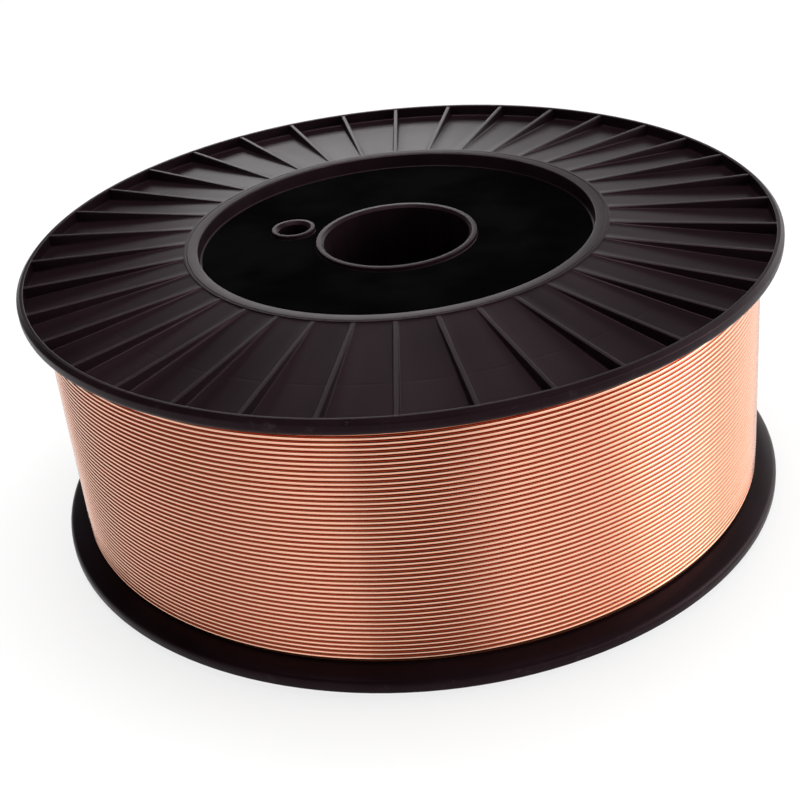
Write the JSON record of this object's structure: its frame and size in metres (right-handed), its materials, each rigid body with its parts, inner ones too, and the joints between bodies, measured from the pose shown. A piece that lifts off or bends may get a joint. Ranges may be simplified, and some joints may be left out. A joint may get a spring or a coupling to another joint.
{
  "type": "mig welding wire spool",
  "caption": "Ribbed plastic spool full of layer-wound, copper-coated welding wire, with a spindle bore and a drive-pin hole.",
  "frame": {"origin": "centre of the lower land's face, which the spool lies on", "axes": "+Z along the spool's axis, upwards; the drive-pin hole is on the -X side; +X and +Y are across the flanges"},
  "size_m": [0.27, 0.27, 0.103],
  "materials": {
    "spool_plastic": "satin moulded black-brown plastic",
    "coppered_wire": "bright copper coating on steel",
    "label": "matt black, blank"
  },
  "bodies": {
    "root": {"upper_half": "spool_plastic", "lower_half": "spool_plastic", "wire_coil": "coppered_wire", "blank_label": "label"}
  },
  "joints": []
}
